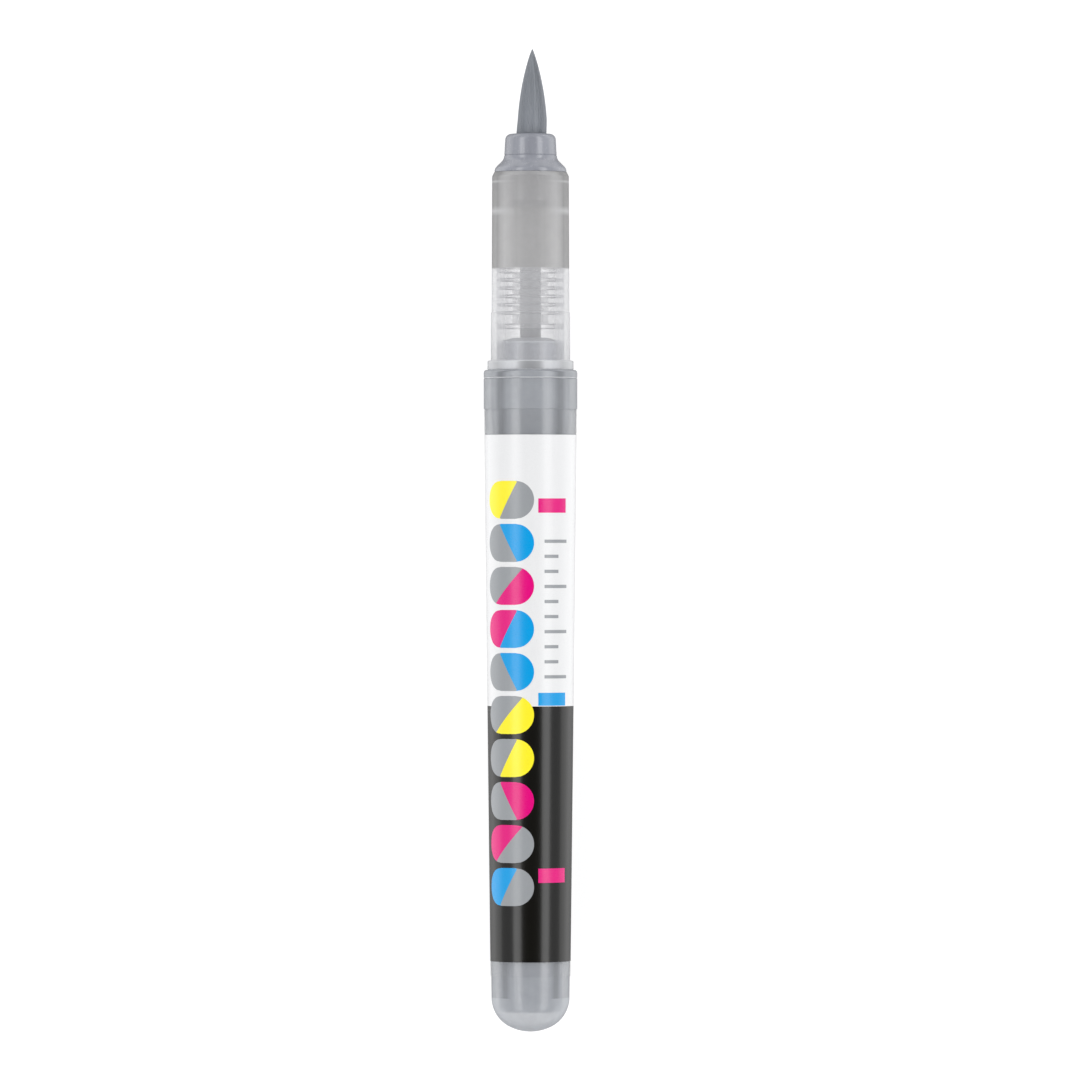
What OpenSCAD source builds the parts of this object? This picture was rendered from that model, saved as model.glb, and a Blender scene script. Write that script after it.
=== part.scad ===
// Brush marker with a liquid-ink feed, uncapped and lying on its side.
// Each piece is drawn upright, with the pen's axis on Z and the end of the domed tail at z = 0.
// lay_down() then turns the pen so that the brush points along +Y and the collar rests on z = 0.

/* [Barrel] */
// Length from the domed tail to the front of the closing ring
barrel_l = 92.6; // [86:0.1:110]
// Diameter of the bare collar, the widest place on the pen
collar_d = 13.1; // [12.9:0.05:14]
// Length of the bare collar, closing ring included
collar_l = 5.5; // [4.5:0.1:7]
// Diameter of the barrel beside the tail dome
tail_d = 10.9; // [10.6:0.05:11.4]
// Wall thickness of the barrel
barrel_wall = 1.05; // [0.9:0.05:1.1]
// Length of the closing ring
ring_l = 1.2; // [1:0.1:2]

/* [Printed sleeve] */
// Distance from the tail to the edge of the film
film_start = 7.8; // [7:0.1:20]
// Thickness of the film
film_t = 0.1; // [0.05:0.01:0.12]

/* [Section] */
// Length of the flange that the cap stops on
flange_l = 1.3; // [1:0.1:2.5]
// Diameter of the flange
flange_d = 12.06; // [11.8:0.02:12.4]
// Length of the straight seat that the cap grips
seat_l = 6.7; // [5:0.1:8]
// Diameter of the cap seat
seat_d = 11.1; // [11:0.02:11.3]
// Length from the flange to the front edge of the section
section_l = 26.4; // [26.4:0.1:32]
// Diameter of the section at its front edge
section_front_d = 10.74; // [10.6:0.02:10.8]
// Bore of the section
section_bore_d = 9.5; // [9.3:0.05:9.6]

/* [Ink system] */
// Outside diameter of the reservoir tube
reservoir_d = 8.68; // [8.4:0.02:8.7]
// Bore of the reservoir tube
reservoir_bore_d = 7.2; // [6.6:0.1:7.4]
// Diameter of the mixing ball
ball_d = 4; // [3:0.5:5]
// Diameter of the feed rod
rod_d = 2.9; // [2.4:0.1:3.2]
// Distance from one open disc of the collector to the next
disc_pitch = 1.16; // [1:0.02:1.2]
// Number of open discs at the rear of the collector
disc_count = 5; // [3:1:5]
// Distance from one comb fin of the collector to the next
comb_pitch = 0.62; // [0.5:0.02:0.7]

/* [Nose and brush] */
// Length of the nose in front of the section
nose_l = 5.35; // [5:0.05:7]
// Diameter of the brush where it leaves the nose
brush_d = 4.2; // [3.6:0.1:4.2]
// Length of brush that stands out of the nose
brush_l = 11.95; // [9:0.05:16]
// Largest angle that the brush bends to either side
bend_angle = 25; // [10:1:25]

/* [Hidden] */
$fn = 96;

// Gap between pieces that are pushed together, and between pieces that only lie side by side
push_gap = 0.02;
free_gap = 0.05;
// Overlap that lets two shapes of one piece join
weld = 0.01;
// Lead-in cut on the edges of pieces that are pushed into a bore
lead = 0.4;

// Heights along the pen, from the tail
socket_l = 7.6;
socket_end = barrel_l - socket_l;
collar_start = barrel_l - collar_l;
ring_start = barrel_l - ring_l;
flange_front = barrel_l + flange_l;
seat_front = flange_front + seat_l;
section_front = flange_front + section_l;
mouth = section_front + nose_l;
pen_l = mouth + brush_l;

// Barrel: the film lies in a tapered recess, which ends deep enough to leave the collar proud of the film
collar_r = collar_d / 2;
collar_proud = 0.05;
recess_r = collar_r - collar_proud - film_t - push_gap;
tail_r = tail_d / 2;
socket_r = seat_d / 2 - free_gap;
ring_boss_r = collar_r - 0.5;
ring_boss_l = 0.7;
ring_edge_r = 0.4;

// Snap beads on the section: one on its spigot, and one in its bore for the nose
spigot_r = socket_r - push_gap;
groove_z = socket_end + 2.4;
groove_l = 1;
groove_depth = 0.15;
bead_inset = 0.1;
bead_h = groove_depth - 0.03;
nose_groove_z = section_front - 1.7;
nose_groove_l = 0.7;

// Tail dome: a crown arc on the axis runs into a corner arc, which runs into the side
crown_r = 6.5;
corner_r = 4.6;
corner_x = tail_r - corner_r;
corner_z = crown_r - sqrt(pow(crown_r - corner_r, 2) - pow(corner_x, 2));

// Cup in the tail that holds the reservoir's end
cup_floor = 2.8;
cup_end = 8;
cup_r = reservoir_d / 2 + free_gap;
cup_taper_l = 0.6;

// Reservoir, its wider head inside the section, and the plug in the head
reservoir_start = cup_floor + free_gap;
reservoir_r = reservoir_d / 2;
reservoir_bore_r = reservoir_bore_d / 2;
reservoir_floor = 1.1;
reservoir_corner_r = 1.3;
section_bore_r = section_bore_d / 2;
head_r = section_bore_r - push_gap;
head_start = socket_end + 0.6;
reservoir_end = flange_front + 2.4;
plug_start = reservoir_end - 5;
plug_end = reservoir_end + 0.8;
plug_edge_l = 0.25;

// Ball at rest, below the axis so that it lies near the bottom of the tube
ball_r = ball_d / 2;
ball_z = 40;
ball_clearance = 0.3;
ball_drop = reservoir_bore_r - ball_r - ball_clearance;

// Feed rod, from the ink in front of the plug to the root of the brush
rod_r = rod_d / 2;
rod_hole_r = rod_r + free_gap;
rod_start = plug_start - 3;
root_start = section_front - 2.2;

// Collector: end disc, open discs, thick divider, fine comb and rounded shoulder on one core
core_r = rod_r + 1.1;
collector_r = section_bore_r - free_gap;
collector_start = plug_end + 1.3;
end_disc_l = 0.6;
disc_start = seat_front - 0.2;
disc_l = 0.35;
divider_start = disc_start + disc_count * disc_pitch;
divider_l = 0.95;
comb_start = divider_start + divider_l + 0.5;
fin_l = 0.3;
collector_end = section_front - 4.9;
shoulder_r = 1.1;
shoulder_start = collector_end - shoulder_r - fin_l;
fin_count = floor((shoulder_start - comb_start) / comb_pitch);
vent_w = 0.9;
vent_depth_left = 0.3;

// Nose: a band on the section, a 45 degree flare, then the ring with its rounded lip
band_r = section_bore_r + 0.28;
band_l = 0.5;
flare_top_r = 3.78;
flare_top_z = section_front + band_l + band_r - flare_top_r;
ring_base_r = 3.68;
ring_base_z = flare_top_z + 0.5;
lip_r = 3.5;
lip_corner_r = 0.85;
lip_corner_z = mouth - lip_corner_r;
bundle_r = brush_d / 2;
mouth_r = bundle_r + 0.15;
mouth_flare = 0.25;
web_start = section_front - 1.4;
skirt_start = collector_end + 0.8;
skirt_wall = 0.8;

// Ferrule in the nose's pocket
ferrule_r = bundle_r + 0.8;
ferrule_pocket_r = ferrule_r + push_gap;
ferrule_start = collector_end + free_gap;
ferrule_end = mouth - 2.2;
ferrule_flange_r = core_r + 0.6;
ferrule_flange_l = 0.6;

// Brush: the bundle bends at the height of its heel's edge, and its heel is cut back as a cone
root_end = mouth - 0.1;
root_crown = 0.3;
heel_z = mouth + 0.2;
heel_rise = bundle_r * tan(bend_angle);
point_r = 0.12;
point_l = 0.1;
profile_steps = 16;

// Radius of the brush at t, from 0 at the mouth to 1 at the point
function brush_r(t) = bundle_r * pow(1 - pow(t, 1.9), 0.9);

// Radius of the barrel under the film at height z
function barrel_r(z) = tail_r + (recess_r - tail_r) * (z - corner_z) / (collar_start - corner_z);

module lay_down() {
    translate([0, -pen_l / 2, collar_r])
        rotate([-90, 0, 0])
            children();
}

// Solid of revolution from an outline of [radius, height] points
module lathe(outline) {
    rotate_extrude()
        polygon(outline);
}

// Tube from height z0 to z1
module tube(r_out, r_in, z0, z1) {
    lathe([[r_in, z0], [r_out, z0], [r_out, z1], [r_in, z1]]);
}

// Half outline of the tail dome: the crown arc up to the line through both centres, then the corner arc
module dome_outline() {
    reach = 4;
    low_z = crown_r - reach * (crown_r - corner_z);
    intersection() {
        translate([0, crown_r])
            circle(crown_r);
        polygon([[0, crown_r], [reach * corner_x, low_z], [0, low_z]]);
    }
    intersection() {
        translate([corner_x, corner_z])
            circle(corner_r);
        square([tail_r, crown_r]);
    }
}

// Rectangle from [r_in, z0] to [r_out, z1] whose outer top corner is rounded
module rounded_top_outline(r_in, r_out, z0, z1, corner) {
    translate([r_in, z0])
        square([r_out - r_in, z1 - z0 - corner]);
    translate([r_in, z0])
        square([r_out - r_in - corner, z1 - z0]);
    translate([r_out - corner, z1 - corner])
        circle(corner);
}

module outer_barrel() {
    color([0.66, 0.67, 0.7])
        lay_down()
            difference() {
                rotate_extrude() {
                    dome_outline();
                    polygon([
                        [0, corner_z],
                        [tail_r, corner_z],
                        [recess_r, collar_start],
                        [collar_r, collar_start],
                        [collar_r, ring_start],
                        [ring_boss_r, ring_start],
                        [ring_boss_r, ring_start + ring_boss_l],
                        [0, ring_start + ring_boss_l]
                    ]);
                }
                // Cup, tapered bore, then the socket with its snap groove
                lathe([
                    [0, cup_floor],
                    [cup_r, cup_floor],
                    [cup_r, cup_end],
                    [barrel_r(cup_end) - barrel_wall, cup_end + cup_taper_l],
                    [barrel_r(socket_end) - barrel_wall, socket_end],
                    [socket_r, socket_end],
                    [socket_r, groove_z],
                    [socket_r + groove_depth, groove_z + groove_depth],
                    [socket_r + groove_depth, groove_z + groove_l - groove_depth],
                    [socket_r, groove_z + groove_l],
                    [socket_r, barrel_l],
                    [0, barrel_l]
                ]);
            }
}

module label_sleeve() {
    end_z = collar_start - free_gap;
    start_r = barrel_r(film_start) + push_gap;
    end_r = barrel_r(end_z) + push_gap;
    color([0.95, 0.95, 0.95])
        lay_down()
            lathe([
                [start_r, film_start],
                [start_r + film_t, film_start],
                [end_r + film_t, end_z],
                [end_r, end_z]
            ]);
}

module front_ring() {
    color([0.66, 0.67, 0.7])
        lay_down()
            rotate_extrude()
                difference() {
                    rounded_top_outline(socket_r, collar_r, ring_start, barrel_l, ring_edge_r);
                    // Rebate that sits on the barrel's boss
                    square([ring_boss_r + push_gap, ring_start + ring_boss_l + push_gap]);
                }
}

module ink_reservoir() {
    corner_top = reservoir_start + reservoir_corner_r;
    color([0.72, 0.73, 0.75])
        lay_down()
            difference() {
                rotate_extrude() {
                    translate([0, reservoir_start])
                        square([reservoir_r - reservoir_corner_r, reservoir_corner_r]);
                    intersection() {
                        translate([reservoir_r - reservoir_corner_r, corner_top])
                            circle(reservoir_corner_r);
                        square([reservoir_r, corner_top]);
                    }
                    polygon([
                        [0, corner_top],
                        [reservoir_r, corner_top],
                        [reservoir_r, head_start],
                        [head_r - lead, head_start],
                        [head_r, head_start + lead],
                        [head_r, reservoir_end],
                        [0, reservoir_end]
                    ]);
                }
                translate([0, 0, reservoir_start + reservoir_floor])
                    cylinder(r = reservoir_bore_r, h = reservoir_end);
            }
}

module mixing_ball() {
    color([0.75, 0.75, 0.78])
        lay_down()
            translate([0, ball_drop, ball_z])
                sphere(ball_r);
}

module reservoir_plug() {
    body_r = reservoir_bore_r - push_gap;
    flange_z = reservoir_end + push_gap;
    plug_crown_r = rod_hole_r + 0.8;
    color([0.92, 0.92, 0.92])
        lay_down()
            lathe([
                [rod_hole_r, plug_start],
                [body_r - lead, plug_start],
                [body_r, plug_start + lead],
                [body_r, flange_z],
                [head_r, flange_z],
                [head_r, flange_z + plug_edge_l],
                [plug_crown_r, plug_end],
                [rod_hole_r, plug_end]
            ]);
}

module feed_rod() {
    color([0.62, 0.63, 0.66])
        lay_down()
            translate([0, 0, rod_start])
                cylinder(r = rod_r, h = root_start - push_gap - rod_start);
}

module collector() {
    color([0.88, 0.88, 0.89])
        lay_down()
            difference() {
                union() {
                    tube(core_r + weld, rod_hole_r, collector_start, collector_end);
                    tube(collector_r, core_r, collector_start, collector_start + end_disc_l);
                    for (i = [0 : disc_count - 1])
                        disc_at(disc_start + i * disc_pitch, disc_l);
                    disc_at(divider_start, divider_l);
                    for (i = [0 : fin_count - 1])
                        disc_at(comb_start + i * comb_pitch, fin_l);
                    rotate_extrude()
                        shoulder_outline();
                }
                // Vent channel along the underside, which lets air pass every disc
                translate([-vent_w / 2, core_r + vent_depth_left, collector_start - 1])
                    cube([vent_w, collector_r, shoulder_start - collector_start + 1]);
            }
}

// Rounded shoulder at the front of the collector, which the ferrule's flange meets
module shoulder_outline() {
    difference() {
        rounded_top_outline(core_r, collector_r, shoulder_start, collector_end, shoulder_r);
        square([core_r, collector_end]);
    }
}

// One disc of the collector
module disc_at(z, thickness) {
    tube(collector_r, core_r, z, z + thickness);
}

module section_shell() {
    seat_r = seat_d / 2;
    body_r = seat_r - 0.1;
    front_r = section_front_d / 2;
    flange_back = barrel_l + push_gap;
    bead_start = groove_z + bead_inset;
    bead_end = groove_z + groove_l - bead_inset;
    nose_bead_start = nose_groove_z + bead_inset;
    nose_bead_end = nose_groove_z + nose_groove_l - bead_inset;
    edge_l = 0.6;
    edge_cut = 0.3;
    color([0.9, 0.9, 0.91, 0.5])
        lay_down()
            lathe([
                [section_bore_r, socket_end + free_gap],
                [spigot_r - edge_cut, socket_end + free_gap],
                [spigot_r, socket_end + free_gap + lead],
                [spigot_r, bead_start],
                [spigot_r + bead_h, bead_start + bead_h],
                [spigot_r + bead_h, bead_end - bead_h],
                [spigot_r, bead_end],
                [spigot_r, flange_back],
                [flange_d / 2, flange_back],
                [flange_d / 2, flange_front],
                [seat_r, flange_front],
                [seat_r, seat_front],
                [body_r, seat_front],
                [front_r, section_front - edge_l],
                [front_r - edge_cut, section_front],
                [section_bore_r, section_front],
                [section_bore_r, nose_bead_end],
                [section_bore_r - bead_h, nose_bead_end - bead_h],
                [section_bore_r - bead_h, nose_bead_start + bead_h],
                [section_bore_r, nose_bead_start]
            ]);
}

module nose_cone() {
    band_z = section_front + push_gap;
    skirt_r = section_bore_r - push_gap;
    groove_r = skirt_r - groove_depth;
    groove_end = nose_groove_z + nose_groove_l;
    rim_r = lip_r - lip_corner_r;
    color([0.55, 0.56, 0.6])
        lay_down()
            rotate_extrude() {
                difference() {
                    union() {
                        polygon([
                            [mouth_r, band_z],
                            [band_r, band_z],
                            [band_r, section_front + band_l],
                            [flare_top_r, flare_top_z],
                            [ring_base_r, ring_base_z],
                            [lip_r, lip_corner_z],
                            [rim_r, lip_corner_z],
                            [rim_r, mouth],
                            [mouth_r, mouth]
                        ]);
                        intersection() {
                            translate([rim_r, lip_corner_z])
                                circle(lip_corner_r);
                            translate([rim_r, lip_corner_z])
                                square(lip_corner_r);
                        }
                    }
                    // Pocket for the ferrule
                    square([ferrule_pocket_r, ferrule_end + free_gap]);
                    // Flared mouth
                    polygon([
                        [0, mouth - mouth_flare],
                        [mouth_r, mouth - mouth_flare],
                        [mouth_r + mouth_flare, mouth],
                        [0, mouth]
                    ]);
                }
                // Web and skirt that snap into the section
                polygon([
                    [ferrule_pocket_r, web_start],
                    [skirt_r - skirt_wall, web_start],
                    [skirt_r - skirt_wall, skirt_start],
                    [skirt_r, skirt_start],
                    [skirt_r, nose_groove_z],
                    [groove_r, nose_groove_z + groove_depth],
                    [groove_r, groove_end - groove_depth],
                    [skirt_r, groove_end],
                    [skirt_r, band_z + weld],
                    [ferrule_pocket_r, band_z + weld]
                ]);
            }
}

module brush_ferrule() {
    step_z = root_start - push_gap;
    color([0.8, 0.81, 0.83])
        lay_down()
            lathe([
                [rod_hole_r, ferrule_start],
                [ferrule_flange_r, ferrule_start],
                [ferrule_flange_r, ferrule_start + ferrule_flange_l],
                [ferrule_r, ferrule_start + ferrule_flange_l + lead],
                [ferrule_r, ferrule_end],
                [bundle_r + push_gap, ferrule_end],
                [bundle_r + push_gap, step_z],
                [rod_hole_r, step_z]
            ]);
}

module brush_root() {
    color([0.45, 0.46, 0.49])
        lay_down()
            lathe([
                [0, root_start],
                [bundle_r, root_start],
                [bundle_r, root_end - root_crown],
                [0, root_end]
            ]);
}

module brush_tip() {
    heel_t = (heel_z + heel_rise - mouth) / brush_l;
    color([0.5, 0.51, 0.54])
        lay_down()
            lathe([
                [0, heel_z],
                for (i = [0 : profile_steps - 1])
                    let (t = heel_t + (1 - heel_t) * i / profile_steps)
                        [brush_r(t), mouth + t * brush_l],
                [point_r, pen_l - point_l],
                [0, pen_l]
            ]);
}

outer_barrel();
label_sleeve();
front_ring();
ink_reservoir();
mixing_ball();
reservoir_plug();
feed_rod();
collector();
section_shell();
nose_cone();
brush_ferrule();
brush_root();
brush_tip();
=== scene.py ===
"""Looks of an uncapped brush marker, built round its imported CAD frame.

The pen lies along +Y with its brush forwards. Outlines are in millimetres: a radius from the pen's axis,
and a station, which is the distance from the end of the domed tail. Blender objects are in metres.
"""

import math
import random

import bpy
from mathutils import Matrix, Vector


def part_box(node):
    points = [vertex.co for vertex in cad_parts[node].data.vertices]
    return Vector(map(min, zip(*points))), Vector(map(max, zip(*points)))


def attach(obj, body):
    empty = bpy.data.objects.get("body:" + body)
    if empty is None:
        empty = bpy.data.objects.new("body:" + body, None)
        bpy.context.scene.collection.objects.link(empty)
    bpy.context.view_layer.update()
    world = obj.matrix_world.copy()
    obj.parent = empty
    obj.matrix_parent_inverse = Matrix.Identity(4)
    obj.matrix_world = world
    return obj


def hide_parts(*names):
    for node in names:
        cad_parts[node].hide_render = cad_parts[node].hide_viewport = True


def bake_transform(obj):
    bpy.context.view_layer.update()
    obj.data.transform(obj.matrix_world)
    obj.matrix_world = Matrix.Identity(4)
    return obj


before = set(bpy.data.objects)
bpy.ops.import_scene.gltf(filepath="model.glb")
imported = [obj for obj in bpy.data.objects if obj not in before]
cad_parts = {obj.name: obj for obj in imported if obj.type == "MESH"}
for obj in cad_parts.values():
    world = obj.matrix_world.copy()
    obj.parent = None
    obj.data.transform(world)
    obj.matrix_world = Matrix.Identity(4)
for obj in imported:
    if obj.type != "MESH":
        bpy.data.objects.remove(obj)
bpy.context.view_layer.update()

MM = 0.001
SEED = 20

# Gaps in millimetres: between pieces pushed together, and between pieces with play
PUSH_GAP = 0.02
FREE_GAP = 0.05


# ---- Places and sizes from the frame ----

TAIL_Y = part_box("outer_barrel")[0].y
AXIS_Z = sum(corner.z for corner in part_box("outer_barrel")) / 2


def to_mm(node):
    """Rear station, front station and radius of a CAD node, in millimetres."""
    low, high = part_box(node)
    return (low.y - TAIL_Y) / MM, (high.y - TAIL_Y) / MM, (high.z - low.z) / 2 / MM


_, BOSS_END, COLLAR_R = to_mm("outer_barrel")
FILM_START, FILM_END, FILM_R = to_mm("label_sleeve")
RING_START, RING_END, _ = to_mm("front_ring")
SPIGOT_START, SECTION_END, FLANGE_R = to_mm("section_shell")
SKIRT_START, MOUTH, BAND_R = to_mm("nose_cone")
ROOT_START, _, BRUSH_R = to_mm("brush_root")
TIP_END = to_mm("brush_tip")[1]
FERRULE_R = BRUSH_R + 0.8
CUP_FLOOR = to_mm("ink_reservoir")[0] - FREE_GAP
RESERVOIR_R = 4.34
COLLECTOR_START, COLLECTOR_END, DISC_R = to_mm("collector")
ROD_R = to_mm("feed_rod")[2]
BORE_R = DISC_R + FREE_GAP

# Barrel
TAIL_R = 5.45
CROWN_R = 6.5
CORNER_R = 4.6
WALL = 1.05
CUP_END = 8.0
CUP_ROUNDING = 0.5
FILM_T = 0.1
SOCKET_R = 5.5
RING_RECESS = 0.5

# Section
FLANGE_FRONT = 93.9
SEAT_R = 5.55
SEAT_END = 100.6
BODY_R = 5.45
SECTION_FRONT_R = 5.37
SNAP_START = SECTION_END - 1.7
SNAP_END = SECTION_END - 1.0

# Collector
HUB_R = ROD_R + 1.1
SHOULDER_START = COLLECTOR_END - 1.4
END_DISC_T = 0.6
OPEN_DISCS = 5
DISC_PITCH = 1.16
DISC_T = 0.35
DIVIDER_T = 0.95
COMB_FINS = 10
FIN_PITCH = 0.62
FIN_T = 0.3

# Nose
FLARE_R = 3.78
LIP_R = 3.5
POCKET_END = 123.5

# Printed zones of the film, and the line that the ink has reached in the section
BLACK_START = 9.9
BLACK_END = 45.6
WHITE_END = 83.5
INK_LINE = 106.8


def place(radius, angle, station):
    """Point in the row frame. The angle is in radians from straight up, positive towards +X."""
    return Vector((
        radius * math.sin(angle) * MM,
        TAIL_Y + station * MM,
        AXIS_Z + radius * math.cos(angle) * MM,
    ))


# ---- Mesh helpers ----

def arc(centre, radius, start, end, steps):
    """Points of an arc in an outline. Angles are in degrees, 0 outwards and 90 towards the brush."""
    points = []
    for i in range(steps + 1):
        a = math.radians(start + (end - start) * i / steps)
        points.append((centre[0] + radius * math.cos(a), centre[1] + radius * math.sin(a)))
    return points


def rounded(corners, steps=5):
    """Outline from corners (radius, station) or (radius, station, rounding), each rounding as an arc."""
    points = []
    for i, corner in enumerate(corners):
        here = Vector(corner[:2])
        size = corner[2] if len(corner) > 2 else 0
        if not size:
            points.append(tuple(here))
            continue
        before = (Vector(corners[i - 1][:2]) - here).normalized()
        after = (Vector(corners[(i + 1) % len(corners)][:2]) - here).normalized()
        half = before.angle(after) / 2
        reach = size / math.tan(half)
        centre = here + (before + after).normalized() * size / math.sin(half)
        first = here + before * reach - centre
        last = here + after * reach - centre
        for k in range(steps + 1):
            points.append(tuple(centre + size * first.slerp(last, k / steps).normalized()))
    return points


def mesh_object(name, vertices, faces, sharp_angle=35):
    """Smooth-shaded object whose edges are sharp where its faces meet at more than sharp_angle degrees."""
    mesh = bpy.data.meshes.new(name)
    mesh.from_pydata(vertices, [], faces)
    mesh.validate()
    mesh.update()
    mesh.shade_smooth()
    mesh.set_sharp_from_angle(angle=math.radians(sharp_angle))
    obj = bpy.data.objects.new(name, mesh)
    bpy.context.collection.objects.link(obj)
    return obj


def lathe(name, outline, segments=192):
    """Closed solid of revolution. The outline runs anticlockwise, and may touch the axis at both ends."""
    vertices = []
    rings = []
    for radius, station in outline:
        if radius < 1e-6:
            rings.append([len(vertices)])
            vertices.append(place(0, 0, station))
        else:
            rings.append(range(len(vertices), len(vertices) + segments))
            vertices += [place(radius, 2 * math.pi * k / segments, station) for k in range(segments)]
    faces = []
    for a, b in zip(rings, rings[1:] + rings[:1]):
        for k in range(segments):
            n = (k + 1) % segments
            if len(a) == 1 and len(b) == 1:
                break
            if len(a) == 1:
                faces.append((a[0], b[n], b[k]))
            elif len(b) == 1:
                faces.append((a[k], a[n], b[0]))
            else:
                faces.append((a[k], a[n], b[n], b[k]))
    return mesh_object(name, vertices, faces)


def finished(obj, materials, body="pen", nodes=(), clear=False):
    """Gives a piece its materials, body and the CAD nodes it stands for.

    A clear piece casts no shadow, so the lamps reach what is inside it.
    """
    obj.visible_shadow = not clear
    for material in materials:
        obj.data.materials.append(material)
    if nodes:
        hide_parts(*nodes)
    if body:
        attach(obj, body)


def split_faces(obj, slot_at):
    """Gives each face the material slot that slot_at says for the radius and station of its middle."""
    for face in obj.data.polygons:
        radius = math.hypot(face.center.x, face.center.z - AXIS_Z) / MM
        station = (face.center.y - TAIL_Y) / MM
        face.material_index = int(slot_at(radius, station))


# ---- Material helpers ----

def srgb(code):
    """Linear colour of a six-digit sRGB code."""
    values = [int(code[i:i + 2], 16) / 255 for i in (0, 2, 4)]
    return tuple(v / 12.92 if v <= 0.04045 else ((v + 0.055) / 1.055) ** 2.4 for v in values) + (1,)


def shade(colour, factor):
    """The colour times a factor."""
    return tuple(c * factor for c in colour[:3]) + (1,)


class Nodes:
    """Node tree of a material or a world, with a short way to add nodes."""

    def __init__(self, owner, output):
        owner.use_nodes = True
        self.tree = owner.node_tree
        self.tree.nodes.clear()
        self.output = self.add(output)

    def add(self, kind, inputs=(), **settings):
        """New node. A socket among the inputs is linked, and any other value is set."""
        made = self.tree.nodes.new("ShaderNode" + kind)
        for key, value in settings.items():
            setattr(made, key, value)
        for key, value in dict(inputs).items():
            if isinstance(value, bpy.types.NodeSocket):
                self.tree.links.new(value, made.inputs[key])
            else:
                made.inputs[key].default_value = value
        return made

    def end_in(self, surface):
        self.tree.links.new(surface, self.output.inputs["Surface"])


class Shader(Nodes):
    """A material's node tree, with what the pen's materials are made from."""

    def __init__(self, name):
        self.material = bpy.data.materials.new(name)
        super().__init__(self.material, "OutputMaterial")

    def math(self, operation, a, b=0.0, clamp=False):
        return self.add("Math", {0: a, 1: b}, operation=operation, use_clamp=clamp).outputs[0]

    def noise(self, stretch, scale, detail):
        """Noise on the object's own coordinates, which are first scaled by stretch along each axis."""
        where = self.add("TexCoord").outputs["Object"]
        placed = self.add("Mapping", {"Vector": where, "Scale": stretch}).outputs[0]
        return self.add("TexNoise", {"Vector": placed, "Scale": scale, "Detail": detail}).outputs[0]

    def remap(self, value, low, high, to_low, to_high):
        return self.add(
            "MapRange",
            {"Value": value, "From Min": low, "From Max": high, "To Min": to_low, "To Max": to_high},
        ).outputs[0]

    def coordinate(self, axis):
        where = self.add("TexCoord").outputs["Object"]
        return self.add("SeparateXYZ", {"Vector": where}).outputs[axis]

    def past_station(self, station, blur):
        """0 behind a station on the pen and 1 in front of it, with an edge blur millimetres wide."""
        middle = TAIL_Y + station * MM
        half = blur * MM / 2
        return self.remap(self.coordinate("Y"), middle - half, middle + half, 0.0, 1.0)

    def painted_bands(self, slant, stops):
        """Greys blended between stops, each a pair of slant and brightness, for painted light and shade."""
        ramp = self.add("ValToRGB", {"Fac": slant})
        elements = ramp.color_ramp.elements
        elements[0].position = stops[0][0]
        elements[1].position = stops[-1][0]
        for position, _ in stops[1:-1]:
            elements.new(position)
        for element, (_, grey) in zip(elements, stops):
            element.color = (grey, grey, grey, 1)
        return ramp.outputs["Color"]

    def mix_colour(self, factor, a, b, blend="MIX"):
        mix = self.add("Mix", {"Factor": factor}, data_type="RGBA", blend_type=blend)
        for name, value in (("A", a), ("B", b)):
            socket = next(s for s in mix.inputs if s.name == name and s.type == "RGBA")
            if isinstance(value, bpy.types.NodeSocket):
                self.tree.links.new(value, socket)
            else:
                socket.default_value = value
        return next(s for s in mix.outputs if s.type == "RGBA")

    def bump(self, height, depth_mm):
        return self.add("Bump", {"Height": height, "Distance": depth_mm * MM}).outputs[0]

    def slant(self):
        """0 where the surface faces the eye and 1 where it is seen edge on."""
        return self.add("LayerWeight", {"Blend": 0.5}).outputs["Facing"]

    def finish(self, surface):
        self.end_in(surface)
        return self.material


WHITE = (1, 1, 1, 1)

# Stretches of noise: the same every way, and drawn out along the pen
EVEN = (1, 1, 1)
ALONG = (1, 0.06, 1)


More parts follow.
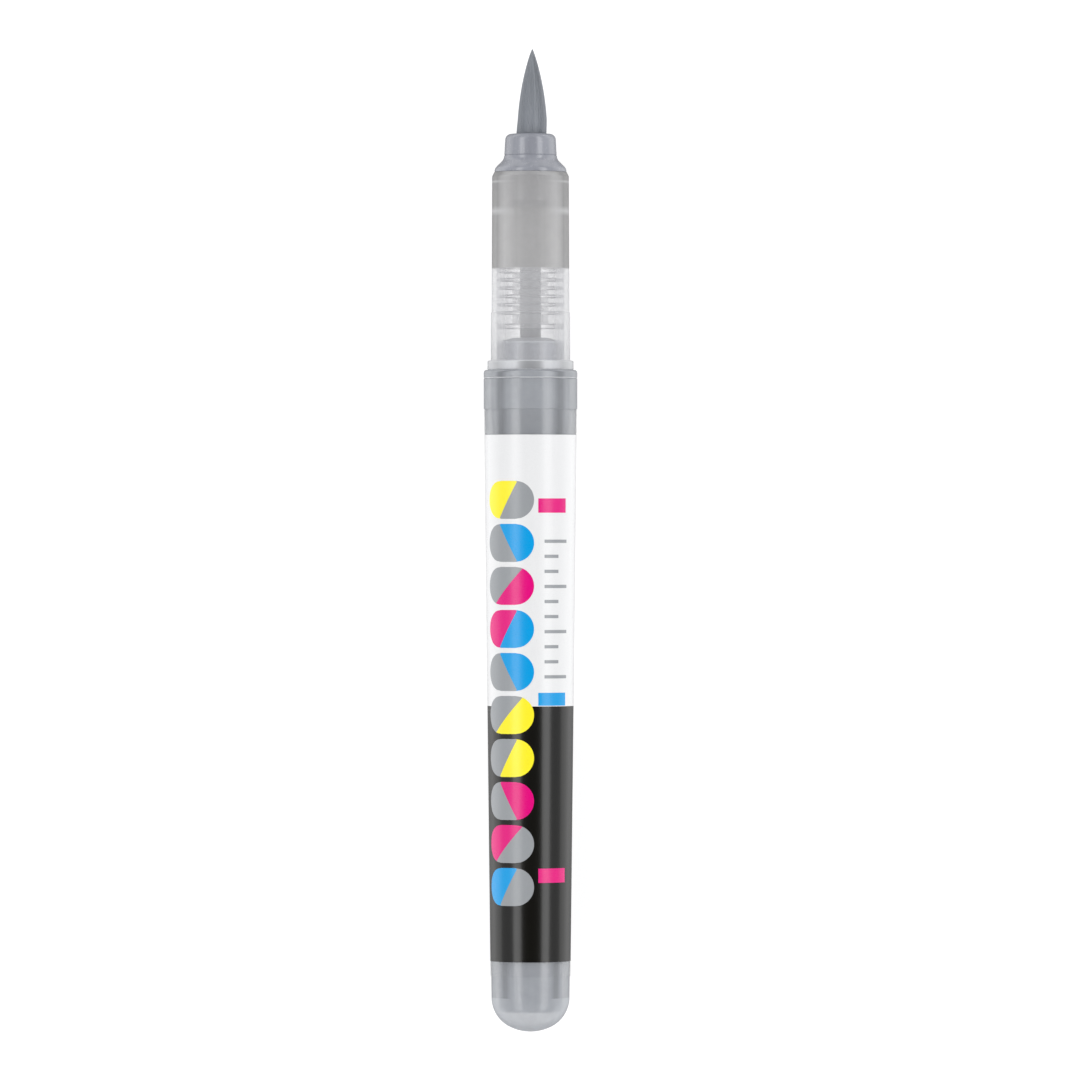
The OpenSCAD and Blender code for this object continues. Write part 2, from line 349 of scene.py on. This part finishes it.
def frosted(
    name, haze, cloud, roughness=0.2, wet=None, shine=0.04, painted_bands=None, painted_bands_from=0.0, glints=()
):
    """Clear plastic that is a little cloudy.

    haze is the share of light that each surface stops, face on and at a grazing angle, and cloud is its
    colour. wet gives both again for the part of the piece in front of the ink line. shine is the share
    that a clear surface mirrors face on. painted_bands are painted streaks of light and shade along the
    pen in front of the station painted_bands_from, which stand in for those that a round clear wall
    gathers, as stops of slant and brightness, and belong to the wet part if there is one. glints are
    painted highlights: pale rings at the sides of the piece, where an edge inside it catches the light,
    each a station and a width.
    """
    s = Shader(name)
    mottle = s.noise(EVEN, 420, detail=4)
    flow = s.noise(ALONG, 900, detail=2)
    slant = s.slant()
    depth = s.math("POWER", slant, 1.6)

    def stopped(face_on, grazing):
        return s.remap(depth, 0.0, 0.85, face_on, grazing)

    share = stopped(*haze)
    colour = s.mix_colour(s.remap(flow, 0.3, 0.7, 0.0, 1.0), cloud, shade(cloud, 0.94))
    # Painted light and shade: streaks that lighten or darken the colour by slant
    streaks = WHITE
    if painted_bands:
        streaks = s.mix_colour(s.past_station(painted_bands_from, 2.0), streaks, s.painted_bands(slant, painted_bands))
    if wet:
        wet_haze, wet_cloud = wet
        inked = s.past_station(INK_LINE, 0.12)
        dry_share = s.math("MULTIPLY", s.math("SUBTRACT", 1.0, inked), share)
        share = s.math("ADD", dry_share, s.math("MULTIPLY", inked, stopped(*wet_haze)))
        colour = s.mix_colour(inked, colour, s.mix_colour(1.0, wet_cloud, streaks, blend="MULTIPLY"))
    else:
        colour = s.mix_colour(1.0, colour, streaks, blend="MULTIPLY")
    # Painted highlights: pale rings at the sides of the piece
    for station, width in glints:
        behind = s.past_station(station - width / 2, width)
        before = s.past_station(station + width / 2, width)
        side = s.remap(slant, 0.08, 0.3, 0.0, 0.6)
        ring_share = s.math("MULTIPLY", s.math("SUBTRACT", behind, before), side, clamp=True)
        colour = s.mix_colour(ring_share, colour, cloud)
    share = s.math("MULTIPLY", share, s.remap(mottle, 0.35, 0.65, 0.95, 1.05), clamp=True)
    gloss = s.add("BsdfPrincipled", {
        "Base Color": colour,
        "Roughness": s.remap(mottle, 0.3, 0.7, roughness * 0.85, roughness * 1.15),
        "IOR": 1.49,
    }).outputs[0]
    glow = s.add("BsdfTranslucent", {"Color": colour}).outputs[0]
    body = s.add("MixShader", {0: 0.3, 1: gloss, 2: glow}).outputs[0]
    clear = s.add("BsdfTransparent", {"Color": WHITE}).outputs[0]
    mirror = s.add("BsdfGlossy", {"Color": WHITE, "Roughness": roughness}).outputs[0]
    mirrored = s.remap(s.math("POWER", slant, 5.0), 0.0, 1.0, shine, 0.4)
    window = s.add("MixShader", {0: mirrored, 1: clear, 2: mirror}).outputs[0]
    return s.finish(s.add("MixShader", {0: share, 1: window, 2: body}).outputs[0])


def moulded(name, colour, roughness=0.28, mottle_share=0.12, coat=0.3, painted_bands=None, painted_bands_from=0.0):
    """Moulded plastic with faint flow marks and a soft orange-peel surface.

    painted_bands are painted streaks of light and shade along the pen in front of the station
    painted_bands_from, as stops of slant and brightness.
    """
    s = Shader(name)
    flow = s.noise(ALONG, 1100, detail=3)
    peel = s.noise(EVEN, 2600, detail=2)
    marks = s.remap(flow, 0.3, 0.7, 0.0, 1.0)
    base = s.mix_colour(marks, colour, shade(colour, 1 - mottle_share))
    # Painted light and shade: streaks by slant in front of a station
    if painted_bands:
        painted_streaked = s.mix_colour(1.0, base, s.painted_bands(s.slant(), painted_bands), blend="MULTIPLY")
        base = s.mix_colour(s.past_station(painted_bands_from, 0.5), base, painted_streaked)
    return s.finish(s.add("BsdfPrincipled", {
        "Base Color": base,
        "Roughness": s.remap(peel, 0.3, 0.7, roughness * 0.8, roughness * 1.2),
        "Coat Weight": coat,
        "Coat Roughness": 0.12,
        "Normal": s.bump(peel, 0.001),
    }).outputs[0])


def printed(name, colour, roughness=0.3):
    """Ink printed on film: a fine dot grain and a very slight waviness from shrinking."""
    s = Shader(name)
    grain = s.noise(EVEN, 9000, detail=2)
    wave = s.noise((1, 0.25, 1), 260, detail=2)
    return s.finish(s.add("BsdfPrincipled", {
        "Base Color": s.mix_colour(s.remap(grain, 0.35, 0.65, 0.0, 1.0), colour, shade(colour, 0.93)),
        "Roughness": s.remap(grain, 0.3, 0.7, roughness * 0.85, roughness * 1.15),
        "Normal": s.bump(wave, 0.012),
    }).outputs[0])


def wet_fibre(name, root, tip, roughness=0.42):
    """Nylon fibres full of ink: streaks along the pen, darker where the bundle is wettest."""
    s = Shader(name)
    streak = s.noise((1, 0.02, 1), 9000, detail=2)
    blotch = s.noise((1, 0.3, 1), 700, detail=2)
    along = s.past_station((MOUTH + TIP_END) / 2, TIP_END - MOUTH)
    base = s.mix_colour(along, root, tip)
    dark = s.add("HueSaturation", {"Value": 0.88, "Color": base}).outputs[0]
    colour = s.mix_colour(s.remap(streak, 0.3, 0.7, 0.0, 1.0), base, dark)
    return s.finish(s.add("BsdfPrincipled", {
        "Base Color": colour,
        "Roughness": s.remap(blotch, 0.3, 0.7, roughness * 0.8, roughness * 1.2),
        "Sheen Weight": 0.25,
        "Sheen Roughness": 0.4,
        "Normal": s.bump(streak, 0.02),
    }).outputs[0])


# ---- Materials ----

# Painted shade: a dark streak part way to each side and dimmer edges, by slant
barrel_plastic = frosted(
    "barrel_plastic", (0.52, 0.95), srgb("D0D3D8"),
    painted_bands=[(0.0, 1.0), (0.14, 1.0), (0.21, 0.62), (0.27, 0.6), (0.36, 0.88), (0.55, 0.8), (1.0, 0.75)],
)
# Painted shade: darker towards the edges, by slant
tail_plastic = frosted(
    "tail_plastic", (0.52, 0.95), srgb("D0D3D8"), painted_bands_from=TAIL_R,
    painted_bands=[(0.0, 1.0), (0.25, 0.97), (0.5, 0.82), (1.0, 0.72)],
)
# Painted highlight: a pale, nearly opaque white on the ring's rear edge for the light line at the seam
painted_seam_highlight = frosted("painted_seam_highlight", (0.9, 0.95), srgb("EDEEF0"))
clear_film = frosted("clear_film", (0.02, 0.1), srgb("C4C6C8"), shine=0.01)
# Painted light and shade in the inked part: darker middle, pale streak part way out, dark edges, by slant;
# painted highlights: pale rings at the sides at the collector's shoulder and at the snap bead
section_plastic = frosted(
    "section_plastic", (0.22, 0.65), srgb("DCDCDE"), roughness=0.35, wet=((0.55, 0.98), srgb("CCCBCB")),
    shine=0.02,
    painted_bands=[(0.0, 0.72), (0.07, 0.63), (0.17, 0.9), (0.26, 1.0), (0.36, 0.88), (0.48, 0.57), (1.0, 0.53)],
    glints=[(COLLECTOR_END - 0.6, 0.7), (SNAP_START + 0.3, 0.25)],
)
# Painted light and shade: a dark middle, paler further out and a dimmer stretch before the edges, by slant
flange_plastic = frosted(
    "flange_plastic", (0.75, 0.7), srgb("FAFBFD"), shine=0.02,
    painted_bands=[(0.0, 0.44), (0.02, 0.52), (0.06, 0.85), (0.12, 1.0), (0.24, 0.9), (0.36, 0.7), (1.0, 0.9)],
)
nose_plastic = moulded("nose_plastic", srgb("95979F"), roughness=0.24, coat=0.35)
nose_skirt = frosted("nose_skirt", (0.25, 0.7), srgb("C2C2C5"), roughness=0.3)
white_print = printed("white_print", srgb("EBEBEB"))
black_print = printed("black_print", srgb("12110E"), roughness=0.22)
yellow_print = printed("yellow_print", srgb("FFF12D"))
magenta_print = printed("magenta_print", srgb("E6007E"))
cyan_print = printed("cyan_print", srgb("009FE3"))
grey_print = printed("grey_print", srgb("9A9DA0"))
brush_fibre = wet_fibre("brush_fibre", srgb("888C93"), srgb("8C9096"))
collector_plastic = frosted(
    "collector_plastic", (0.05, 0.75), srgb("86868A"), roughness=0.5, wet=((0.2, 0.6), srgb("C4C4C4")),
)
collector_hub = frosted(
    "collector_hub", (0.5, 0.0), srgb("9A9B9D"), roughness=0.5, wet=((0.4, 0.2), srgb("A4A4A6")),
)


def steel_material():
    s = Shader("ball_steel")
    scuff = s.noise(EVEN, 3000, detail=4)
    return s.finish(s.add("BsdfPrincipled", {
        "Base Color": (0.62, 0.62, 0.64, 1),
        "Metallic": 1.0,
        "Roughness": s.remap(scuff, 0.3, 0.7, 0.1, 0.3),
    }).outputs[0])


def give_material(node, material):
    """Puts a material on every slot of a CAD node."""
    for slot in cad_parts[node].material_slots:
        slot.material = material


# Painted light and shade in front of the ring: a pale streak near the middle and darker towards the edges,
# by slant
give_material("ink_reservoir", moulded(
    "reservoir_wall", srgb("9A9DA4"), painted_bands_from=RING_END,
    painted_bands=[(0.0, 0.74), (0.03, 0.78), (0.09, 0.98), (0.2, 0.9), (0.34, 0.72), (0.6, 0.55), (1.0, 0.5)],
))
give_material("feed_rod", wet_fibre("feed_fibre", srgb("7E7F81"), srgb("7E7F81"), roughness=0.6))
give_material("reservoir_plug", moulded("plug_plastic", srgb("A4A7AC"), roughness=0.45, coat=0.0))
give_material("brush_ferrule", moulded("ferrule_plastic", srgb("8E9197"), roughness=0.4, coat=0.0))
give_material("mixing_ball", steel_material())


# ---- Barrel, ring and film ----

def tail_corner():
    """Centre of the arc between the tail's crown and its side."""
    radius = TAIL_R - CORNER_R
    return radius, CROWN_R - math.sqrt((CROWN_R - CORNER_R) ** 2 - radius ** 2)


def barrel_surface(station):
    """Radius of the barrel under the film."""
    corner_station = tail_corner()[1]
    front = FILM_R - FILM_T - PUSH_GAP
    return TAIL_R + (front - TAIL_R) * (station - corner_station) / (FILM_END - corner_station)


def film_surface(station):
    """Outer radius of the film."""
    return barrel_surface(station) + PUSH_GAP + FILM_T


def barrel_outline():
    """Crown and side of the tail, cone, collar and boss, then back through the socket to the cup's floor."""
    corner = tail_corner()
    # The crown arc and the corner arc meet on the line through both centres
    meet = math.degrees(math.atan2(corner[1] - CROWN_R, corner[0]))
    collar_start = FILM_END + FREE_GAP
    boss_r = COLLAR_R - RING_RECESS
    cup_r = RESERVOIR_R + FREE_GAP
    socket_end = SPIGOT_START - FREE_GAP
    outer = (
        [(0, 0)]
        + arc((0, CROWN_R), CROWN_R, -90, meet, 8)[1:]
        + arc(corner, CORNER_R, meet, 0, 16)[1:]
        + rounded([
            (barrel_surface(collar_start), collar_start),
            (COLLAR_R, collar_start, 0.05),
            (COLLAR_R, RING_START, 0.09),
            (boss_r, RING_START),
            (boss_r, BOSS_END),
        ])
    )
    inner = [
        (SOCKET_R, BOSS_END),
        (SOCKET_R, socket_end),
        (barrel_surface(SPIGOT_START) - WALL, socket_end),
        (barrel_surface(CUP_END) - WALL, CUP_END + 0.6),
        (cup_r, CUP_END),
        (cup_r, CUP_FLOOR + CUP_ROUNDING),
    ]
    floor = arc((cup_r - CUP_ROUNDING, CUP_FLOOR + CUP_ROUNDING), CUP_ROUNDING, 0, -90, 5)[1:]
    return outer + inner + floor + [(0, CUP_FLOOR)]


def ring_outline():
    """Ring whose rebate sits on the barrel's boss."""
    rebate_r = COLLAR_R - RING_RECESS + PUSH_GAP
    rebate_end = BOSS_END + PUSH_GAP
    rear = RING_START + 0.01
    return rounded([
        (SOCKET_R, rebate_end),
        (rebate_r, rebate_end),
        (rebate_r, rear),
        (COLLAR_R, rear, 0.14),
        (COLLAR_R, RING_END, 0.4),
        (SOCKET_R, RING_END),
    ])


def film_outline():
    """Cone with its outer edges bevelled, and a ring of points at each end of the printed zones."""
    bevel = FILM_T / 2
    zone_ends = [BLACK_START, BLACK_END, WHITE_END]
    rear, front = film_surface(FILM_START), film_surface(FILM_END)
    outer = [(rear - bevel, FILM_START), (rear, FILM_START + bevel)]
    outer += [(film_surface(station), station) for station in zone_ends]
    outer += [(front, FILM_END - bevel), (front - bevel, FILM_END)]
    stations = [FILM_START] + zone_ends + [FILM_END]
    inner = [(barrel_surface(station) + PUSH_GAP, station) for station in reversed(stations)]
    return outer + inner


def film_zone(station):
    """Material slot of the film at a station: 0 clear, 1 black, 2 white."""
    if BLACK_START < station < BLACK_END:
        return 1
    if BLACK_END < station < WHITE_END:
        return 2
    return 0


barrel = lathe("barrel_shell", barrel_outline())
split_faces(barrel, lambda radius, station: station < BLACK_END)
finished(barrel, [barrel_plastic, tail_plastic], nodes=["outer_barrel"])

film = lathe("printed_film", film_outline())
split_faces(film, lambda radius, station: film_zone(station))
finished(film, [clear_film, black_print, white_print], nodes=["label_sleeve"])

ring = lathe("closing_ring", ring_outline())
# The ring's rear edge carries the painted seam highlight
split_faces(ring, lambda radius, station: station < RING_START + 0.15)
finished(ring, [barrel_plastic, painted_seam_highlight], nodes=["front_ring"])


# ---- Section, collector and nose ----

def section_outline():
    """Spigot, flange, cap seat and body, then back along the bore over the snap bead."""
    spigot_r = SOCKET_R - PUSH_GAP
    flange_start = RING_END + PUSH_GAP
    bead_r = BORE_R - 0.12
    return rounded([
        (BORE_R, SPIGOT_START),
        (SOCKET_R - 0.3, SPIGOT_START),
        (spigot_r, SPIGOT_START + 0.4),
        (spigot_r, flange_start),
        (FLANGE_R, flange_start, 0.12),
        (FLANGE_R, FLANGE_FRONT, 0.15),
        (SEAT_R, FLANGE_FRONT, 0.1),
        (SEAT_R, SEAT_END, 0.05),
        (BODY_R, SEAT_END + 0.05),
        (SECTION_FRONT_R, SECTION_END - 0.6, 0.3),
        (SECTION_FRONT_R - 0.3, SECTION_END, 0.08),
        (BORE_R, SECTION_END),
        (BORE_R, SNAP_END - 0.1),
        (bead_r, SNAP_END - 0.22, 0.04),
        (bead_r, SNAP_START + 0.22, 0.04),
        (BORE_R, SNAP_START + 0.1),
    ])


def collector_discs():
    """Rear and front station of each disc: end disc, open discs, divider, then the fins of the comb."""
    discs = [(COLLECTOR_START, COLLECTOR_START + END_DISC_T)]
    first = SEAT_END - 0.2
    for i in range(OPEN_DISCS):
        rear = first + i * DISC_PITCH
        discs.append((rear, rear + DISC_T))
    divider = first + OPEN_DISCS * DISC_PITCH
    discs.append((divider, divider + DIVIDER_T))
    comb = divider + DIVIDER_T + 0.5
    for i in range(COMB_FINS):
        rear = comb + i * FIN_PITCH
        discs.append((rear, rear + FIN_T))
    return discs


def collector_outline():
    """Discs on a hub that surrounds the feed rod, with a rounded shoulder in front."""
    corners = [(ROD_R + FREE_GAP, COLLECTOR_START)]
    for rear, front in collector_discs():
        corners += [(HUB_R, rear), (DISC_R, rear), (DISC_R, front), (HUB_R, front)]
    corners += [
        (HUB_R, SHOULDER_START),
        (DISC_R, SHOULDER_START),
        (DISC_R, COLLECTOR_END, 1.1),
        (ROD_R + FREE_GAP, COLLECTOR_END),
    ]
    return rounded(corners)


def nose_outline():
    """Skirt with its snap groove, band, flare, ring and mouth, then back round the ferrule's pocket."""
    pocket_r = FERRULE_R + PUSH_GAP
    skirt_r = BORE_R - PUSH_GAP
    skirt_bore_r = skirt_r - 0.8
    skirt_bore_end = SECTION_END - 1.4
    groove_r = skirt_r - 0.15
    band_start = SECTION_END + PUSH_GAP
    band_end = SECTION_END + 0.5
    flare_end = band_end + BAND_R - FLARE_R
    mouth_r = BRUSH_R + 0.15
    return rounded([
        (pocket_r, skirt_bore_end),
        (skirt_bore_r, skirt_bore_end),
        (skirt_bore_r, SKIRT_START),
        (skirt_r, SKIRT_START, 0.1),
        (skirt_r, SNAP_START),
        (groove_r, SNAP_START + 0.15, 0.04),
        (groove_r, SNAP_END - 0.15, 0.04),
        (skirt_r, SNAP_END),
        (skirt_r, band_start),
        (BAND_R, band_start, 0.06),
        (BAND_R, band_end, 0.9),
        (FLARE_R, flare_end, 1.1),
        (FLARE_R - 0.1, flare_end + 0.55),
        (FLARE_R - 0.18, flare_end + 0.62),
        (FLARE_R - 0.12, flare_end + 0.7),
        (LIP_R, MOUTH, 0.85),
        (mouth_r, MOUTH, 0.22),
        (mouth_r, POCKET_END),
        (pocket_r, POCKET_END),
    ], steps=8)


section = lathe("clear_section", section_outline())
split_faces(section, lambda radius, station: RING_END < station < FLANGE_FRONT + 0.01)
finished(
    section, [section_plastic, flange_plastic], nodes=["section_shell"], clear=True
)

collector = lathe("collector_comb", collector_outline(), segments=128)
split_faces(collector, lambda radius, station: radius < HUB_R + 0.01)
finished(
    collector, [collector_plastic, collector_hub], nodes=["collector"], clear=True
)

nose = lathe("nose_cone_shell", nose_outline())
split_faces(nose, lambda radius, station: station < SECTION_END)
finished(nose, [nose_plastic, nose_skirt], nodes=["nose_cone"])


# ---- Brush ----

BRUSH_ASIDE = 0.25
STRANDS = 150
STRAND_R = 0.075


def brush_radius(station):
    """Radius of the fibre bundle: straight in the nose, then an ogive to the point."""
    t = max(0.0, (station - MOUTH) / (TIP_END - MOUTH))
    return BRUSH_R * (1 - t ** 1.9) ** 0.9


def brush_place(radius, angle, station):
    """Place in the bundle, which moves over to the side of the axis on its way through the mouth."""
    moved = min(max((station - MOUTH + 2) / 4, 0.0), 1.0)
    return place(radius, angle, station) + Vector((BRUSH_ASIDE * moved * MM, 0, 0))


def brush_stations(last, steps):
    """Stations from the root to last, closer together towards the point."""
    return [ROOT_START + (last - ROOT_START) * (1 - (1 - i / steps) ** 1.4) for i in range(steps + 1)]


def add_tube(vertices, faces, rings):
    """Adds a closed tube through rings of points, all of the same count and turning the same way."""
    start = len(vertices)
    count = len(rings[0])
    for ring in rings:
        vertices.extend(ring)
    for i in range(len(rings) - 1):
        a, b = start + i * count, start + (i + 1) * count
        for k in range(count):
            n = (k + 1) % count
            faces.append((a + k, a + n, b + n, b + k))
    last = start + (len(rings) - 1) * count
    faces.append(tuple(start + k for k in reversed(range(count))))
    faces.append(tuple(last + k for k in range(count)))


def brush_core(segments=48):
    """Rings of points along the body of the bundle, just under its strands."""
    rings = []
    for station in brush_stations(TIP_END - 0.03, 40):
        radius = max(brush_radius(station) - 0.07, 0.02)
        rings.append([brush_place(radius, 2 * math.pi * k / segments, station) for k in range(segments)])
    return rings


def brush_strand(rng, i, sides=5):
    """Rings of points along strand i, which wanders a little on its way to the point."""
    angle = 2 * math.pi * (i + rng.uniform(-0.25, 0.25)) / STRANDS
    # Every third strand reaches the point
    last = TIP_END - abs(rng.gauss(0, 1.2)) if i % 3 else TIP_END - rng.uniform(0.0, 0.25)
    wander = rng.uniform(-0.05, 0.05)
    lift = rng.uniform(-0.012, 0.012)
    stations = brush_stations(last, 26)
    rings = []
    for station in stations:
        along = max(0.0, (station - MOUTH) / (TIP_END - MOUTH))
        thickness = STRAND_R * (1 - 0.75 * along) * rng.uniform(0.96, 1.04)
        centre = max(brush_radius(station) - thickness + lift, 0.0)
        if station == stations[-1]:
            thickness *= 0.3
        ring = []
        for k in range(sides):
            turn = 2 * math.pi * k / sides
            aside = thickness * math.sin(turn) / max(centre, 0.05)
            out = centre + thickness * math.cos(turn)
            ring.append(brush_place(out, angle + wander * along + aside, station))
        rings.append(ring)
    return rings


def make_brush():
    """Core of the bundle with fine strands laid on it, which run together at the point."""
    rng = random.Random(SEED)
    vertices = []
    faces = []
    add_tube(vertices, faces, brush_core())
    for i in range(STRANDS):
        add_tube(vertices, faces, brush_strand(rng, i))
    return mesh_object("brush_bundle", vertices, faces, sharp_angle=60)


brush = make_brush()
finished(brush, [brush_fibre], body=None, nodes=["brush_root", "brush_tip"])
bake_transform(brush)


# ---- Print on the film ----

PRINT_LIFT = 0.004
PRINT_T = 0.012
PRINT_ROW = 0.12


def print_patch(name, start, end, left, right, material):
    """Thin closed patch on the film from station start to end.

    left and right give its edges at a station, in millimetres round the pen from the top, positive to +X.
    """
    rows = max(2, math.ceil((end - start) / PRINT_ROW))
    columns = 24
    count = (rows + 1) * (columns + 1)
    vertices = []
    for lift in (PRINT_LIFT + PRINT_T, PRINT_LIFT):
        for i in range(rows + 1):
            station = start + (end - start) * i / rows
            surface = film_surface(station)
            a, b = left(station), right(station)
            for k in range(columns + 1):
                across = a + (b - a) * k / columns
                vertices.append(place(surface + lift, across / surface, station))
    faces = []
    for i in range(rows):
        for k in range(columns):
            a = i * (columns + 1) + k
            b = a + columns + 1
            faces.append((a, a + 1, b + 1, b))
            faces.append((count + b, count + b + 1, count + a + 1, count + a))
    rim = list(range(columns + 1))
    rim += [i * (columns + 1) + columns for i in range(1, rows + 1)]
    rim += [rows * (columns + 1) + k for k in reversed(range(columns))]
    rim += [i * (columns + 1) for i in reversed(range(1, rows))]
    for a, b in zip(rim, rim[1:] + rim[:1]):
        faces.append((b, a, a + count, b + count))
    finished(mesh_object(name, vertices, faces), [material])


def two_tone_pill(name, centre, height, left, right, slant, first, second):
    """Pill across the pen in two colours, parted by a slanted line."""
    half = height / 2
    middle = (left + right) / 2

    def inset(station):
        return half - math.sqrt(max(half ** 2 - (station - centre) ** 2, 0.0))

    def left_edge(station):
        return left + inset(station)

    def right_edge(station):
        return right - inset(station)

    def parting(station):
        line = middle + slant * (station - centre)
        return min(max(line, left_edge(station)), right_edge(station))

    print_patch(name + "_left", centre - half, centre + half, left_edge, parting, first)
    print_patch(name + "_right", centre - half, centre + half, parting, right_edge, second)


def bar(name, start, end, left, right, material):
    """Rectangle on the film."""
    print_patch(name, start, end, lambda station: left, lambda station: right, material)


# Column of two-tone pills, from the front of the film to the rear
PILL_LEFT = -7.1
PILL_RIGHT = 0.5
PILL_PITCH = 6.0
PILL_HEIGHT = 5.3
FIRST_PILL = 74.4
PILL_SLANTS = (0.55, -0.55, 0.9)
pill_colours = [
    (yellow_print, grey_print),
    (grey_print, cyan_print),
    (grey_print, magenta_print),
    (magenta_print, cyan_print),
    (grey_print, cyan_print),
    (grey_print, yellow_print),
    (grey_print, yellow_print),
    (grey_print, magenta_print),
    (magenta_print, grey_print),
    (cyan_print, grey_print),
]
for i, (first, second) in enumerate(pill_colours):
    slant = PILL_SLANTS[i % len(PILL_SLANTS)]
    centre = FIRST_PILL - i * PILL_PITCH
    two_tone_pill(
        f"print_pill_{i}", centre, PILL_HEIGHT, PILL_LEFT, PILL_RIGHT, slant, first, second
    )

# Three bars beside the pills
BAR_LEFT = 1.1
BAR_RIGHT = 5.6
bar("print_bar_front", 72.6, 74.6, BAR_LEFT, BAR_RIGHT, magenta_print)
bar("print_bar_middle", BLACK_END + 0.1, BLACK_END + 1.9, BAR_LEFT, BAR_RIGHT, cyan_print)
bar("print_bar_rear", 21.0, 23.0, BAR_LEFT, BAR_RIGHT, magenta_print)

# Row of ticks between the bars, every third one longer
TICKS = 10
TICK_LEFT = 2.0
TICK_WIDTH = 0.45
TICK_PITCH = 2.1
FIRST_TICK = 68.4
for i in range(TICKS):
    length = 3.8 if i % 3 == 0 else 2.2
    start = FIRST_TICK - i * TICK_PITCH
    bar(f"print_tick_{i}", start, start + TICK_WIDTH, TICK_LEFT, TICK_LEFT + length, grey_print)


# ---- Floor, light and camera ----

def make_floor():
    """White floor. What the pen mirrors of it is dark close to the pen: a painted contact shadow in its
    glow.
    """
    reach = 3.0
    near, far = 8 * MM, 18 * MM
    s = Shader("floor_white")
    grain = s.noise(EVEN, 40, detail=2)
    matt = s.add("BsdfDiffuse", {
        "Color": s.mix_colour(grain, (0.36, 0.36, 0.36, 1), (0.34, 0.34, 0.34, 1)),
    }).outputs[0]
    seen = s.add("Emission", {"Color": WHITE, "Strength": 0.8}).outputs[0]
    # Painted contact shadow: the glow that the pen sees of the floor is dimmer close to the pen
    aside = s.math("ABSOLUTE", s.coordinate("X"))
    brightness = s.remap(aside, near, far, 0.1, 1.1)
    painted_shadow_glow = s.add("Emission", {"Color": WHITE, "Strength": brightness}).outputs[0]
    camera_ray = s.add("LightPath").outputs["Is Camera Ray"]
    glow = s.add("MixShader", {0: camera_ray, 1: painted_shadow_glow, 2: seen}).outputs[0]
    material = s.finish(s.add("AddShader", {0: matt, 1: glow}).outputs[0])
    corners = [(-reach, -reach, 0), (reach, -reach, 0), (reach, reach, 0), (-reach, reach, 0)]
    floor = mesh_object("floor", corners, [(0, 1, 2, 3)])
    floor.data.materials.append(material)


def make_world():
    """White to the camera. The pen sees a studio that is dark overhead and grey to the sides."""
    world = bpy.data.worlds.new("studio")
    bpy.context.scene.world = world
    s = Nodes(world, "OutputWorld")
    where = s.add("TexCoord").outputs["Generated"]
    height = s.add("SeparateXYZ", {"Vector": where}).outputs["Z"]
    ramp = s.add("ValToRGB", {"Fac": height})
    grey, dark = ramp.color_ramp.elements
    grey.position = 0.6
    grey.color = (0.62, 0.63, 0.65, 1)
    dark.position = 0.92
    dark.color = (0.03, 0.03, 0.03, 1)
    fill = s.add("Background", {"Color": ramp.outputs["Color"]}).outputs[0]
    seen = s.add("Background", {"Color": WHITE, "Strength": 1.05}).outputs[0]
    camera_ray = s.add("LightPath").outputs["Is Camera Ray"]
    s.end_in(s.add("MixShader", {0: camera_ray, 1: fill, 2: seen}).outputs[0])


def make_softbox(name, angle, distance, width, length, radiance):
    """Long strip light beside the pen, at an angle in degrees from straight up, that faces the pen."""
    data = bpy.data.lights.new(name, "AREA")
    data.shape = "RECTANGLE"
    data.size = width
    data.size_y = length
    data.energy = radiance * math.pi * width * length
    light = bpy.data.objects.new(name, data)
    a = math.radians(angle)
    light.location = (distance * math.sin(a), 0, AXIS_Z + distance * math.cos(a))
    light.rotation_euler = (0, a, 0)
    light.visible_camera = False
    bpy.context.collection.objects.link(light)


def make_camera():
    """Straight down from beside the pen's axis, through a long lens, with the brush up in the picture."""
    lens = 300
    sensor = 36
    frame_height = 0.1512
    aside = 1.33 * MM
    data = bpy.data.cameras.new("camera")
    data.lens = lens
    data.sensor_width = sensor
    data.clip_end = 10
    camera = bpy.data.objects.new("camera", data)
    camera.location = (aside, 0, AXIS_Z + frame_height * lens / sensor)
    bpy.context.collection.objects.link(camera)
    bpy.context.scene.camera = camera


make_floor()
make_world()
for side, angle in (("left", -38), ("right", 43)):
    make_softbox(f"softbox_{side}", angle, distance=0.6, width=0.24, length=1.3, radiance=2.8)
make_camera()
bpy.context.scene.view_settings.view_transform = "Standard"
